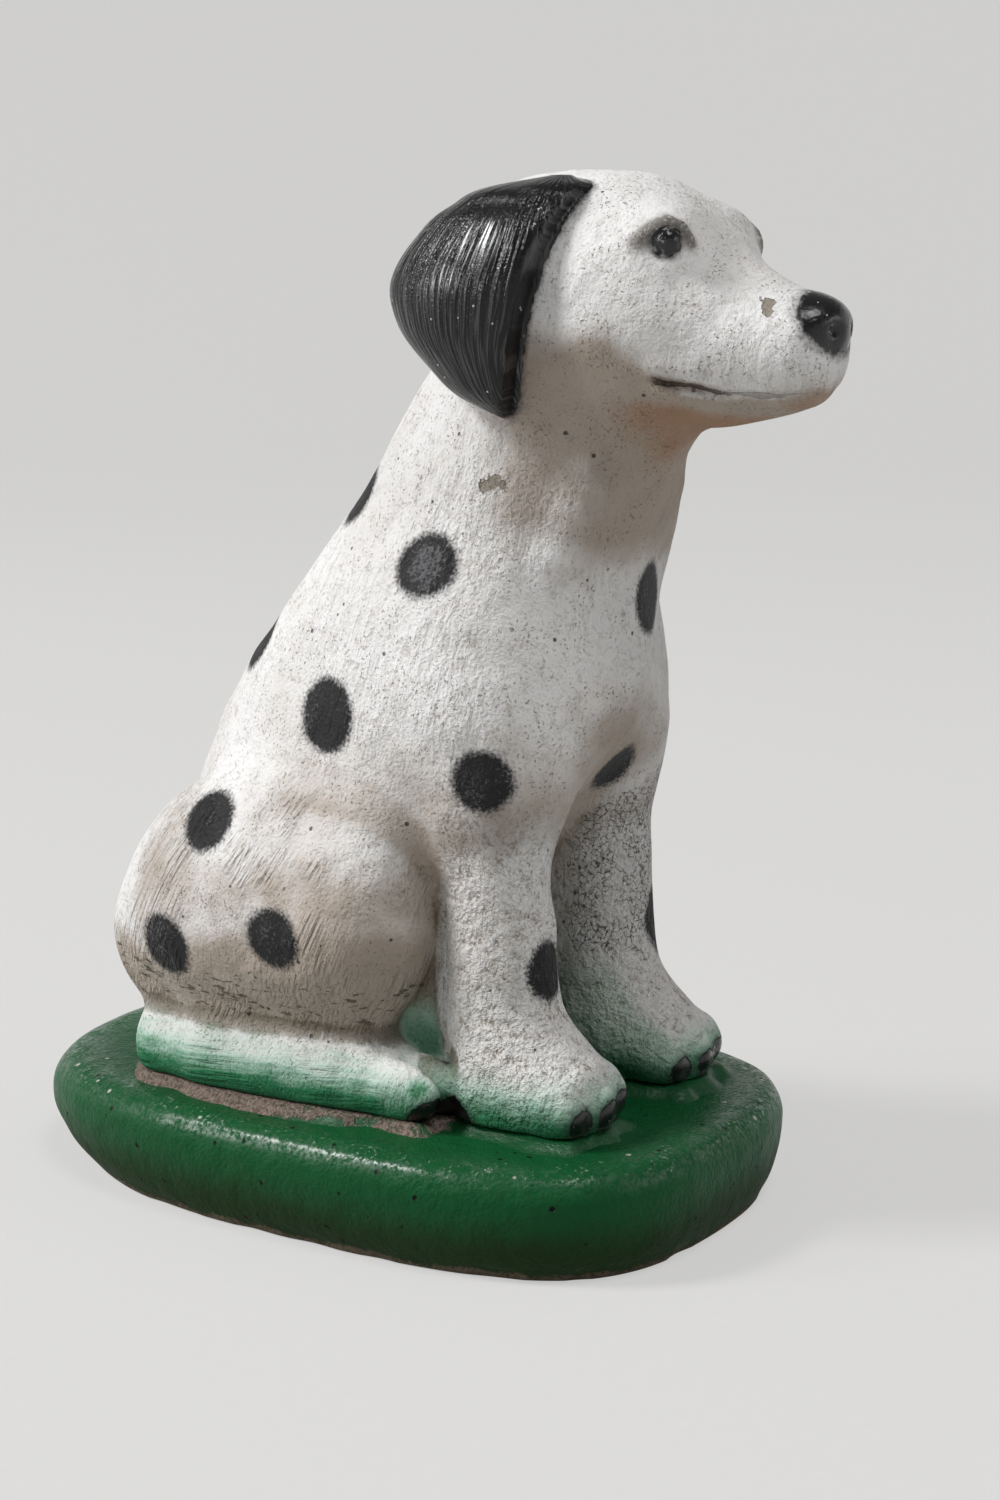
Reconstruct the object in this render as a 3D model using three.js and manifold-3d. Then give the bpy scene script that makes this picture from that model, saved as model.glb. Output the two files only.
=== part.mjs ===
// A sitting dog of cast concrete, set in mortar on a cast plinth and held by steel rods.
// Millimetres, +Z up. The dog faces -Y, so its right side is -X.
// The origin is the middle of the plinth's underside.

import * as THREE from 'three';
import { LoftGeometry } from 'three/addons/geometries/LoftGeometry.js';
import { mergeVertices } from 'three/addons/utils/BufferGeometryUtils.js';
import Module from 'manifold-3d';

// Plinth: its plan is a superellipse, squarer in front than behind.
const PLINTH_LENGTH = 164;
const PLINTH_WIDTH = 112;
const PLINTH_THICKNESS = 23;
const PLINTH_WIDEST_HEIGHT = 16;
const PLINTH_FRONT_SQUARENESS = 3.3;
const PLINTH_REAR_SQUARENESS = 2.6;
const PLINTH_TOP_INSET = 4.5;
const PLINTH_REAR_TOP_INSET = 7.5;
const PLINTH_FOOT_INSET = 3.5;
const PLINTH_REAR_FOOT_INSET = 11;

// The hand-made moulds are out of square: each millimetre to the left lies this much further back.
const OUT_OF_SQUARE = 0.07;

// Mortar bed between the plinth and the dog's soles.
const BED_THICKNESS = 2;
const BED_MARGIN = 3;

// Steel rods, cast into the dog and set in sockets of the plinth.
const SPINE_ROD_DIAMETER = 6;
const SPINE_ROD_BACK = -16;
const SPINE_ROD_REACH = 135;
const FORELEG_ROD_DIAMETER = 4;
const FORELEG_ROD_BACK = -40;
const FORELEG_ROD_REACH = 80;
const ROD_SOCKET_DEPTH = 16;
const ROD_CLEARANCE = 0.3;

// The dog's length from its nose to the back of its haunches, and its height from its soles to its crown.
// Its forms are drawn at the drawn sizes and made to the others.
const DOG_LENGTH = 158.9;
const DOG_HEIGHT = 186.3;
const DRAWN_LENGTH = 158.9;
const DRAWN_HEIGHT = 186.3;

// The dog's forms stand on the height of its soles, and each ring of a form is an ellipse.
// side, back and up place a ring's middle; width, depth and height are its full sizes.
const FORELEG_SPREAD = 42;
const HIND_FOOT_SPREAD = 62;

const TORSO = [
  { up: -5, back: 14, width: 52, depth: 74 },
  { up: 15, back: 14, width: 56, depth: 78 },
  { up: 35, back: 10, width: 59, depth: 85 },
  { up: 50, back: 2, width: 65, depth: 96 },
  { up: 65, back: -6, width: 73.6, depth: 102 },
  { up: 80, back: -11.2, width: 73.2, depth: 95.6 },
  { up: 95, back: -16.6, width: 69.6, depth: 83.6 },
  { up: 110, back: -23.2, width: 63, depth: 71.6 },
  { up: 125, back: -31, width: 55, depth: 66 },
  { up: 140, back: -38, width: 51, depth: 60.8 },
  { up: 155, back: -45, width: 48, depth: 52 },
];

const FORELEG = [
  { up: -5, back: -44, width: 24, depth: 28 },
  { up: 11, back: -42, width: 24, depth: 28 },
  { up: 23, back: -39, width: 23.6, depth: 24.4 },
  { up: 35, back: -38, width: 23, depth: 23 },
  { up: 50, back: -37, width: 23.4, depth: 23.6 },
  { up: 65, back: -35, width: 26.8, depth: 28.8 },
  { up: 85, back: -31, width: 30, depth: 34 },
  { up: 101, back: -28, width: 22, depth: 26 },
];

const PAW = [
  { back: -63, up: 3, width: 8, height: 8 },
  { back: -61, up: 4, width: 18, height: 13 },
  { back: -57, up: 5, width: 23, height: 18 },
  { back: -50, up: 6, width: 25, height: 23 },
  { back: -42, up: 7, width: 25, height: 26 },
  { back: -34, up: 6, width: 22, height: 20 },
  { back: -30, up: 5, width: 12, height: 12 },
];

const HIND_FOOT = [
  { back: -25, up: 3, width: 6, height: 6 },
  { back: -23.5, up: 4, width: 16, height: 11 },
  { back: -19, up: 5, width: 21, height: 15.4 },
  { back: -10, up: 5.5, width: 22, height: 17 },
  { back: 10, up: 5.3, width: 23, height: 16.4 },
  { back: 32, up: 5, width: 22, height: 15.2 },
  { back: 43, up: 4.8, width: 17, height: 14.4 },
  { back: 47, up: 4, width: 8, height: 8 },
];

const HEAD = [
  { back: -102.5, up: 152.5, width: 6, height: 6 },
  { back: -101.5, up: 152.4, width: 13, height: 11 },
  { back: -99, up: 152.3, width: 20.6, height: 17.8 },
  { back: -94.5, up: 152.5, width: 26, height: 22.8 },
  { back: -90, up: 152.8, width: 29, height: 26 },
  { back: -84, up: 153.5, width: 34, height: 30.6 },
  { back: -78, up: 155.5, width: 40, height: 36.8 },
  { back: -73, up: 158, width: 46, height: 42 },
  { back: -65, up: 160, width: 52, height: 48.6 },
  { back: -52, up: 160.8, width: 56, height: 51 },
  { back: -40, up: 161, width: 55, height: 49 },
  { back: -30, up: 162, width: 48, height: 43 },
  { back: -23, up: 163, width: 34, height: 32 },
  { back: -20, up: 163.5, width: 14, height: 14 },
];

const EAR = [
  { up: 139.5, side: 27.5, back: -44.5, width: 3, depth: 4 },
  { up: 143, side: 28, back: -42, width: 9, depth: 15 },
  { up: 149, side: 28, back: -39.5, width: 14, depth: 26 },
  { up: 157, side: 27.5, back: -38, width: 18, depth: 38 },
  { up: 165, side: 26, back: -38.2, width: 20, depth: 42.6 },
  { up: 173, side: 22.5, back: -40, width: 21, depth: 39 },
  { up: 179, side: 19, back: -42, width: 20, depth: 31 },
  { up: 183.5, side: 16, back: -46, width: 14, depth: 18 },
  { up: 185, side: 15, back: -49, width: 4, depth: 4 },
];
const EAR_FRONT = { back: -49.8, up: 162, lean: 14 };

const TAIL = [
  { side: -2, back: 46, up: 10, thick: 14 },
  { side: 9, back: 57, up: 6, thick: 13 },
  { side: 20, back: 59, up: 5, thick: 11 },
  { side: 31, back: 54, up: 4.5, thick: 7 },
  { side: 34, back: 51.5, up: 4, thick: 3 },
];

// Rounded masses: the middle and the full size of each ellipsoid, on both sides where it is a pair.
// lean is how far its rear tips down, in degrees.
const HAUNCH = { side: 28.5, front: -34.7, up: 29, width: 41, depth: 90.6, height: 77, lean: 25 };
const KNEE = { side: 33, back: -9, up: 35, width: 30, depth: 30, height: 56, lean: -15 };
const FLANK = { side: 17, back: -20, up: 27, width: 21, depth: 30, height: 80 };
const SHOULDER = { side: 23, back: -30, up: 81, width: 27, depth: 42, height: 56, lean: 8 };
const BROW = { side: 12.5, back: -71.5, up: 173.2, width: 13, depth: 9.2, height: 8.8 };
const EYE = { side: 17.3, back: -73.9, up: 172, width: 6, depth: 6, height: 6 };
const NOSE = { back: -98, up: 157, width: 17.2, depth: 12.4, height: 12 };
const FRONT_TOE = { back: -58.5, up: 4.5, width: 10, depth: 14, height: 13 };
const HIND_TOE = { back: -24, up: 5, width: 9.4, depth: 24, height: 13.6 };
const FRONT_TOE_PITCH = 8;
const HIND_TOE_PITCH = 6.4;
const OUTER_TOE_SETBACK = 2;

// The haunch and the knee draw in above the hind foot: a slope through this place takes their undersides.
// lean is how far the slope rises outwards, and fall how far it falls to the rear, in degrees.
const UNDERCUT = { side: 40, up: 17, lean: 40, fall: 4 };

// Facets: the points round each form, the steps from one given ring to the next, and the plinth's levels.
const ROUND_STEPS = {
  torso: 28, head: 24, limb: 14, ear: 16, tail: 10, haunch: 24, knee: 18, flank: 18, shoulder: 18,
  nose: 16, brow: 12, eye: 12, toe: 10, plinth: 56, rod: 16, bed: 14,
};
const RING_STEPS = { torso: 2, head: 1, limb: 2, ear: 1, tail: 2 };
const PLINTH_LEVELS = 4;

// A cutting block reaches past the whole statue.
const CUTTER_SIZE = 500;

const CONCRETE_WHITE = { color: 0xdedad2, roughness: 0.75, metalness: 0 };
const PLINTH_GREEN = { color: 0x0d5229, roughness: 0.35, metalness: 0 };
const BARE_MORTAR = { color: 0x8f7d70, roughness: 0.95, metalness: 0 };
const PLAIN_STEEL = { color: 0x7d7f82, roughness: 0.5, metalness: 1 };

const X = new THREE.Vector3(1, 0, 0);
const Y = new THREE.Vector3(0, 1, 0);
const Z = new THREE.Vector3(0, 0, 1);
const SIDES = { right: -1, left: 1 };
const STRETCH = DOG_LENGTH / DRAWN_LENGTH;
const RISE = DOG_HEIGHT / DRAWN_HEIGHT;
const SHEAR = new THREE.Matrix4().makeShear(OUT_OF_SQUARE, 0, 0, 0, 0, 0);
const MOULD = SHEAR.clone().scale(new THREE.Vector3(STRETCH, STRETCH, RISE));

const wasm = await Module();
wasm.setup();

// A closed geometry as a solid, for joining and cutting.
function solid(geometry) {
  const bare = new THREE.BufferGeometry().copy(geometry);
  bare.deleteAttribute('normal');
  bare.deleteAttribute('uv');
  const merged = mergeVertices(bare);
  const index = merged.index.array;
  const triVerts = [];
  for (let i = 0; i < index.length; i += 3) {
    const corners = [index[i], index[i + 1], index[i + 2]];
    if (new Set(corners).size === 3) triVerts.push(...corners);
  }
  return new wasm.Manifold(new wasm.Mesh({
    numProp: 3,
    vertProperties: new Float32Array(merged.attributes.position.array),
    triVerts: new Uint32Array(triVerts),
  }));
}

function geometryOf(body) {
  const { vertProperties, triVerts } = body.getMesh();
  const geometry = new THREE.BufferGeometry();
  geometry.setAttribute('position', new THREE.BufferAttribute(vertProperties, 3));
  geometry.setIndex(new THREE.BufferAttribute(triVerts, 1));
  return geometry;
}

function join(bodies) {
  return bodies.reduce((whole, body) => whole.add(body));
}

function cut(body, tools) {
  return tools.reduce((left, tool) => left.subtract(tool), body);
}

// A form: its geometry takes its mould's place and size before it becomes a solid.
function form(geometry, mould = MOULD) {
  return solid(geometry.applyMatrix4(mould));
}

// A place on the dog's plan, as the mould moves it.
function plan(side, back) {
  return new THREE.Vector3(side, back, 0).applyMatrix4(MOULD);
}

// One ring: the superellipse round middle with half sizes along two axes.
function ring(middle, axes, halves, squareness, steps) {
  const power = 2 / squareness;
  return Array.from({ length: steps }, (_, i) => {
    const angle = (i / steps) * 2 * Math.PI;
    const cos = Math.cos(angle);
    const sin = Math.sin(angle);
    return middle.clone()
      .addScaledVector(axes[0], halves[0] * Math.sign(cos) * Math.abs(cos) ** power)
      .addScaledVector(axes[1], halves[1] * Math.sign(sin) * Math.abs(sin) ** power);
  });
}

// A form through rings that lie across axes, filled in along smooth curves.
function loft(middles, halves, axes, kind) {
  const path = new THREE.CatmullRomCurve3(middles);
  const sizes = new THREE.CatmullRomCurve3(halves);
  const count = (middles.length - 1) * RING_STEPS[kind];
  const sections = Array.from({ length: count + 1 }, (_, i) => {
    const size = sizes.getPoint(i / count);
    return ring(path.getPoint(i / count), axes, [size.x, size.y], 2, ROUND_STEPS[kind]);
  });
  return new LoftGeometry(sections, { capStart: true, capEnd: true });
}

// Level rings, stacked upwards round side.
function stacked(rings, side, kind) {
  return loft(
    rings.map((r) => new THREE.Vector3(side, r.back, r.up)),
    rings.map((r) => new THREE.Vector3(r.width / 2, r.depth / 2, 0)),
    [X, Y],
    kind,
  );
}

// Upright rings, carried backwards along side.
function carried(rings, side, kind) {
  return loft(
    rings.map((r) => new THREE.Vector3(side, r.back, r.up)),
    rings.map((r) => new THREE.Vector3(r.height / 2, r.width / 2, 0)),
    [Z, X],
    kind,
  );
}

function ellipsoid(mass, side, kind) {
  const steps = ROUND_STEPS[kind];
  return new THREE.SphereGeometry(0.5, steps, steps / 2)
    .rotateX(Math.PI / 2)
    .scale(mass.width, mass.depth, mass.height)
    .rotateX(THREE.MathUtils.degToRad(-(mass.lean ?? 0)))
    .translate(side, mass.back, mass.up);
}

function upright(diameter, low, high, place) {
  return new THREE.CylinderGeometry(diameter / 2, diameter / 2, high - low, ROUND_STEPS.rod)
    .rotateX(Math.PI / 2)
    .translate(place.x, place.y, (low + high) / 2);
}

// The tail lies on the plinth, curled to the dog's left.
function tail() {
  const path = new THREE.CatmullRomCurve3(TAIL.map((r) => new THREE.Vector3(r.side, r.back, r.up)));
  const thick = new THREE.CatmullRomCurve3(TAIL.map((r) => new THREE.Vector3(r.thick / 2, 0, 0)));
  const count = (TAIL.length - 1) * RING_STEPS.tail;
  const sections = Array.from({ length: count + 1 }, (_, i) => {
    const along = path.getTangent(i / count);
    const across = new THREE.Vector3().crossVectors(Z, along).normalize();
    const over = new THREE.Vector3().crossVectors(along, across);
    const radius = thick.getPoint(i / count).x;
    return ring(path.getPoint(i / count), [across, over], [radius, radius], 2, ROUND_STEPS.tail);
  });
  return new LoftGeometry(sections, { capStart: true, capEnd: true });
}

// An ear hangs against the skull, with its front edge cut flat along a leaning line.
function ear(side) {
  const flap = loft(
    EAR.map((r) => new THREE.Vector3(side * r.side, r.back, r.up)),
    EAR.map((r) => new THREE.Vector3(r.width / 2, r.depth / 2, 0)),
    [X, Y],
    'ear',
  );
  const front = new THREE.BoxGeometry(CUTTER_SIZE, CUTTER_SIZE, CUTTER_SIZE)
    .translate(0, -CUTTER_SIZE / 2, 0)
    .rotateX(THREE.MathUtils.degToRad(-EAR_FRONT.lean))
    .translate(0, EAR_FRONT.back, EAR_FRONT.up);
  return cut(form(flap), [form(front)]);
}

// Three toes in a row, the outer two set back.
function toes(toe, pitch, middle) {
  return [-1, 0, 1].map((place) => {
    const moved = { ...toe, back: toe.back + Math.abs(place) * OUTER_TOE_SETBACK };
    return form(ellipsoid(moved, middle + place * pitch, 'toe'));
  });
}

// A haunch reaches back from its front, so a deeper one stays as clear of the foreleg.
const thigh = { ...HAUNCH, back: HAUNCH.front + HAUNCH.depth / 2 };

// A haunch: the thigh and the knee, drawn in below.
function haunch(side) {
  const slope = new THREE.BoxGeometry(CUTTER_SIZE, CUTTER_SIZE, CUTTER_SIZE)
    .translate(0, 0, -CUTTER_SIZE / 2)
    .rotateX(THREE.MathUtils.degToRad(-UNDERCUT.fall))
    .rotateY(THREE.MathUtils.degToRad(-side * UNDERCUT.lean))
    .translate(side * UNDERCUT.side, 0, UNDERCUT.up);
  const masses = [
    form(ellipsoid(thigh, side * HAUNCH.side, 'haunch')),
    form(ellipsoid(KNEE, side * KNEE.side, 'knee')),
  ];
  return cut(join(masses), [form(slope)]);
}

// What the dog has on each side.
function sideForms(side) {
  const foreleg = side * FORELEG_SPREAD / 2;
  const hindFoot = side * HIND_FOOT_SPREAD / 2;
  return [
    haunch(side),
    form(ellipsoid(FLANK, side * FLANK.side, 'flank')),
    form(ellipsoid(SHOULDER, side * SHOULDER.side, 'shoulder')),
    form(stacked(FORELEG, foreleg, 'limb')),
    form(carried(PAW, foreleg, 'limb')),
    form(carried(HIND_FOOT, hindFoot, 'limb')),
    form(ellipsoid(BROW, side * BROW.side, 'brow')),
    form(ellipsoid(EYE, side * EYE.side, 'eye')),
    ...toes(FRONT_TOE, FRONT_TOE_PITCH, foreleg),
    ...toes(HIND_TOE, HIND_TOE_PITCH, hindFoot),
    ear(side),
  ];
}

const soleHeight = PLINTH_THICKNESS + BED_THICKNESS;
const socketFloor = PLINTH_THICKNESS - ROD_SOCKET_DEPTH;

const rods = [
  {
    name: 'spine_rod',
    diameter: SPINE_ROD_DIAMETER,
    top: soleHeight + SPINE_ROD_REACH * RISE,
    place: plan(0, SPINE_ROD_BACK),
  },
  ...Object.entries(SIDES).map(([sideName, side]) => ({
    name: `${sideName}_foreleg_rod`,
    diameter: FORELEG_ROD_DIAMETER,
    top: soleHeight + FORELEG_ROD_REACH * RISE,
    place: plan(side * FORELEG_SPREAD / 2, FORELEG_ROD_BACK),
  })),
];

// The way of each rod through the pieces that hold it, in the frame of a piece that stands at base.
function rodWays(base) {
  return rods.map((rod) => solid(upright(
    rod.diameter + 2 * ROD_CLEARANCE,
    socketFloor - base,
    rod.top + ROD_CLEARANCE - base,
    rod.place,
  )));
}

function dogCasting() {
  const forms = [
    form(stacked(TORSO, 0, 'torso')),
    form(carried(HEAD, 0, 'head')),
    form(ellipsoid(NOSE, 0, 'nose')),
    form(tail()),
    ...Object.values(SIDES).flatMap(sideForms),
  ];
  const ground = new THREE.BoxGeometry(CUTTER_SIZE, CUTTER_SIZE, CUTTER_SIZE)
    .translate(0, 0, -CUTTER_SIZE / 2);
  return geometryOf(cut(join(forms), [solid(ground), ...rodWays(soleHeight)]));
}

// A patch of mortar under one form: the ellipse that its plan fills, and a margin.
function bedPatch(left, right, front, rear) {
  const outline = new THREE.Shape().absellipse(
    STRETCH * (left + right) / 2,
    STRETCH * (front + rear) / 2,
    STRETCH * (right - left) / 2 + BED_MARGIN,
    STRETCH * (rear - front) / 2 + BED_MARGIN,
    0,
    2 * Math.PI,
  );
  const slab = new THREE.ExtrudeGeometry(outline, {
    depth: BED_THICKNESS,
    bevelEnabled: false,
    curveSegments: ROUND_STEPS.bed,
  });
  return form(slab, SHEAR);
}

// The patch under a foot, from its toes to the end of its rings, which are carried backwards along side.
function patchUnder(rings, toe, side) {
  const half = Math.max(...rings.map((r) => r.width)) / 2;
  return bedPatch(side - half, side + half, toe.back - toe.depth / 2, rings.at(-1).back);
}

function mortarBed() {
  const seat = TORSO[0];
  const patches = [
    bedPatch(-seat.width / 2, seat.width / 2, seat.back - seat.depth / 2, seat.back + seat.depth / 2),
    bedPatch(
      TAIL[0].side,
      TAIL.at(-1).side,
      Math.min(...TAIL.map((r) => r.back - r.thick / 2)),
      Math.max(...TAIL.map((r) => r.back + r.thick / 2)),
    ),
    ...Object.values(SIDES).flatMap((side) => [
      patchUnder(PAW, FRONT_TOE, side * FORELEG_SPREAD / 2),
      patchUnder(HIND_FOOT, HIND_TOE, side * HIND_FOOT_SPREAD / 2),
    ]),
  ];
  return geometryOf(cut(join(patches), rodWays(PLINTH_THICKNESS)));
}

// One level ring of the plinth, drawn in by its insets at the sides, in front and behind.
function plinthRing(height, sideInset, rearInset) {
  const halfWidth = PLINTH_WIDTH / 2 - sideInset;
  const front = PLINTH_LENGTH / 2 - sideInset;
  const rear = PLINTH_LENGTH / 2 - rearInset;
  const middle = new THREE.Vector3(0, 0, height);
  const half = ROUND_STEPS.plinth / 2;
  const behind = ring(middle, [X, Y], [halfWidth, rear], PLINTH_REAR_SQUARENESS, ROUND_STEPS.plinth);
  const before = ring(middle, [X, Y], [halfWidth, front], PLINTH_FRONT_SQUARENESS, ROUND_STEPS.plinth);
  return [...behind.slice(0, half), ...before.slice(half)];
}

function plinth() {
  const lower = Array.from({ length: PLINTH_LEVELS }, (_, i) => {
    const share = 1 - i / PLINTH_LEVELS;
    return plinthRing(
      PLINTH_WIDEST_HEIGHT * (1 - share),
      PLINTH_FOOT_INSET * share ** 2,
      PLINTH_REAR_FOOT_INSET * share ** 2,
    );
  });
  const upper = Array.from({ length: PLINTH_LEVELS + 1 }, (_, i) => {
    const share = i / PLINTH_LEVELS;
    const height = PLINTH_WIDEST_HEIGHT + (PLINTH_THICKNESS - PLINTH_WIDEST_HEIGHT) * share;
    return plinthRing(height, PLINTH_TOP_INSET * share ** 3, PLINTH_REAR_TOP_INSET * share ** 3);
  });
  const slab = form(new LoftGeometry([...lower, ...upper], { capStart: true, capEnd: true }), SHEAR);
  return geometryOf(cut(slab, rodWays(0)));
}

function piece(name, geometry, finish, height) {
  const mesh = new THREE.Mesh(geometry, new THREE.MeshStandardMaterial(finish));
  mesh.name = name;
  mesh.position.z = height;
  return mesh;
}

const statue = new THREE.Group();
statue.add(piece('plinth', plinth(), PLINTH_GREEN, 0));
statue.add(piece('mortar_bed', mortarBed(), BARE_MORTAR, PLINTH_THICKNESS));
statue.add(piece('dog_casting', dogCasting(), CONCRETE_WHITE, soleHeight));
rods.forEach((rod) => {
  const bar = upright(rod.diameter, socketFloor + ROD_CLEARANCE, rod.top, rod.place);
  statue.add(piece(rod.name, bar, PLAIN_STEEL, 0));
});

export default statue;
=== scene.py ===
# %% [markdown]
# # A painted concrete dog
#
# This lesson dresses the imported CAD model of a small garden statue: a sitting dog cast in concrete,
# painted white with black spots, and set in mortar on a green plinth.
# Shapes are worked out in millimetres, as whole arrays, and become metres when they become meshes.
# The dog faces -Y, its right side is -X, and the plinth's underside lies at a height of 0.

# %% Load the frame
import math

import bpy
import numpy as np
from mathutils import Matrix


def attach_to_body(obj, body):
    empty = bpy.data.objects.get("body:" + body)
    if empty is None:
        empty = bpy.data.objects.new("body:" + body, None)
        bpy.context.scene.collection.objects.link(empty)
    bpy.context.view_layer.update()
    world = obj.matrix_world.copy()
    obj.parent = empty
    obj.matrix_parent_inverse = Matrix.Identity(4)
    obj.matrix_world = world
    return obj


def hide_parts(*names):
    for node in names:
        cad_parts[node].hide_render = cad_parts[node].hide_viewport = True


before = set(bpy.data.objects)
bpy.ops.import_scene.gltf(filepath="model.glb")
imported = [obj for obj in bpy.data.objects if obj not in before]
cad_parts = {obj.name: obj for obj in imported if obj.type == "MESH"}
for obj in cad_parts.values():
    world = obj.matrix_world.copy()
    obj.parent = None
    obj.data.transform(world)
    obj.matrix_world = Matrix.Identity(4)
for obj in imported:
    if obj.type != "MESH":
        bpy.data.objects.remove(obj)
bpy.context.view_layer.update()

MM = 0.001
print("CAD nodes:", sorted(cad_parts))

# %% [markdown]
# ## Camera
#
# The photograph is 1000 by 1500 pixels. A focal length of 3000 of those pixels, from the dog's front right
# and a little above, puts the plinth's outline and the nose where the photograph has them.
# The camera's axes come from its azimuth and elevation: right, up, and back towards the eye.

# %% Camera
PHOTO = (1000, 1500)
FOCAL_PIXELS = 3000
AZIMUTH = math.radians(-55.5)
ELEVATION = math.radians(10.6)
EYE = np.array([-501.27, -370.0, 207.52])
back = np.array([
    math.sin(AZIMUTH) * math.cos(ELEVATION),
    -math.cos(AZIMUTH) * math.cos(ELEVATION),
    math.sin(ELEVATION),
])
right = np.array([math.cos(AZIMUTH), math.sin(AZIMUTH), 0])
up = np.cross(back, right)


def standing(right, up, back, place):
    """The matrix of a camera or lamp at place, whose columns are its axes and its place."""
    return Matrix(np.vstack([np.column_stack([right, up, back, place]), (0, 0, 0, 1)]).tolist())


camera_data = bpy.data.cameras.new("camera")
camera_data.sensor_width = 36
camera_data.lens = 36 * FOCAL_PIXELS / PHOTO[1]
camera_data.clip_start = 0.01
camera = bpy.data.objects.new("camera", camera_data)
camera.matrix_world = standing(right, up, back, EYE * MM)
scene = bpy.context.scene
scene.collection.objects.link(camera)
scene.camera = camera
scene.view_settings.view_transform = "Standard"
print("lens:", camera_data.lens, "mm")


# %% [markdown]
# ## Shapes from distances
#
# A cast dog has no edges between limbs and body: each form runs into the next over a soft fillet. One surface
# of two parameters can't branch into legs, ears and toes, so the dog is a *field*: a function that says, for
# any point, roughly how far outside the dog it lies. Each form has its own simple distance, and a smooth
# minimum joins two forms with a fillet of a chosen width.

# %% Curves and rings
def curve(at, stations, values):
    """A smooth curve through values at stations, looked up in a fine table. Between stations it is a cubic,
    whose slope at a station is the mean slope there, or level where the values turn."""
    stations = np.asarray(stations, float)
    values = np.asarray(values, float)
    chords = np.diff(values) / np.diff(stations)
    slopes = np.gradient(values, stations)
    slopes[1:-1] = np.where(chords[1:] * chords[:-1] <= 0, 0, slopes[1:-1])
    fine = np.linspace(stations[0], stations[-1], 500)
    i = np.clip(np.searchsorted(stations, fine, side="right") - 1, 0, len(stations) - 2)
    gap = stations[i + 1] - stations[i]
    s = (fine - stations[i]) / gap
    table = (2 * s**3 - 3 * s**2 + 1) * values[i] + (3 * s**2 - 2 * s**3) * values[i + 1]
    table += (s**3 - 2 * s**2 + s) * gap * slopes[i] + (s**3 - s**2) * gap * slopes[i + 1]
    return np.interp(at, fine, table)


def ring_stack(points, axis, rings, squareness=2):
    """How far each point lies outside a form drawn as superellipse rings across one axis: its distance from
    the ring's middle, less the ring's reach that way. Past the end rings, the distance along the axis is
    added at a right angle."""
    rings = np.asarray(rings, float)
    others = [a for a in range(3) if a != axis]
    station = np.clip(points[:, axis], rings[0, 0], rings[-1, 0])
    past = points[:, axis] - station
    middle_a, middle_b, half_a, half_b = (curve(station, rings[:, 0], rings[:, c]) for c in (1, 2, 3, 4))
    half_a = np.maximum(half_a, 0.3)
    half_b = np.maximum(half_b, 0.3)
    a = points[:, others[0]] - middle_a
    b = points[:, others[1]] - middle_b
    share = (np.abs(a / half_a) ** squareness + np.abs(b / half_b) ** squareness) ** (1 / squareness)
    reach = np.hypot(a, b)
    rim = np.where(share > 1e-4, reach / np.maximum(share, 1e-4), np.minimum(half_a, half_b))
    level = reach - rim
    return np.where(past == 0, level, np.hypot(np.maximum(level, 0), past))


print("half way along a curve from 0 to 1:", curve(0.5, [0, 1, 2], [0, 1, 0]).round(2))


# %% Simple distances
def ellipsoid(points, middle, halves, lean=0):
    """How far each point lies outside an ellipsoid, to first order: k (k - 1) / g, where k is the length
    of the point over the half sizes and g that of the point over their squares. lean turns it about X."""
    q = points - middle
    if lean:
        c = math.cos(math.radians(lean))
        s = math.sin(math.radians(lean))
        q = np.stack([q[:, 0], c * q[:, 1] + s * q[:, 2], c * q[:, 2] - s * q[:, 1]], 1)
    k = np.sqrt(((q / halves) ** 2).sum(1))
    g = np.sqrt(((q / np.square(halves)) ** 2).sum(1))
    return np.where(g > 1e-9, k * (k - 1) / np.maximum(g, 1e-9), -min(halves))


def bent_rod(points, corners, radii):
    """How far each point lies outside a round rod through corners; its radius runs straight between them."""
    corners = np.asarray(corners, float)
    radii = np.broadcast_to(np.asarray(radii, float), len(corners))
    nearest = np.full(len(points), np.inf)
    for start, end, r_start, r_end in zip(corners[:-1], corners[1:], radii[:-1], radii[1:]):
        along = end - start
        share = np.clip((points - start) @ along / (along @ along), 0, 1)
        away = np.linalg.norm(points - start - share[:, None] * along, axis=1)
        nearest = np.minimum(nearest, away - r_start - (r_end - r_start) * share)
    return nearest


def half_space(points, place, facing):
    """How far each point lies in front of a plane: its offset from place, along facing."""
    return (points - place) @ facing


print("8 mm from a 5 mm ball's middle:", ellipsoid(np.array([[8, 0, 0]]), (0, 0, 0), (5, 5, 5)))


# %% Joining and easing
def join(a, b, fillet):
    """The smaller of two distances, less a fillet: where they differ by less than fillet, the mix of the two
    drops by up to a quarter of fillet."""
    share = np.clip(0.5 + 0.5 * (b - a) / fillet, 0, 1)
    return b + (a - b) * share - fillet * share * (1 - share)


def keep(a, b, fillet):
    """What lies inside both forms, with its edge rounded."""
    return -join(-a, -b, fillet)


def rise(value, low, high):
    """0 at low, 1 at high and a smooth S between, whichever of the two is larger."""
    t = np.clip((value - low) / (high - low), 0, 1)
    return t * t * (3 - 2 * t)


def within(value, low, full_low, full_high, high):
    """1 from full_low to full_high, easing to 0 at low and at high."""
    return rise(value, low, full_low) * rise(value, high, full_high)


def bell(value, middle, width):
    """1 at middle, fading on both sides as exp(-d^2), where d is the distance over width."""
    return np.exp(-(((value - middle) / width) ** 2))


LATTICE = 32


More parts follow.
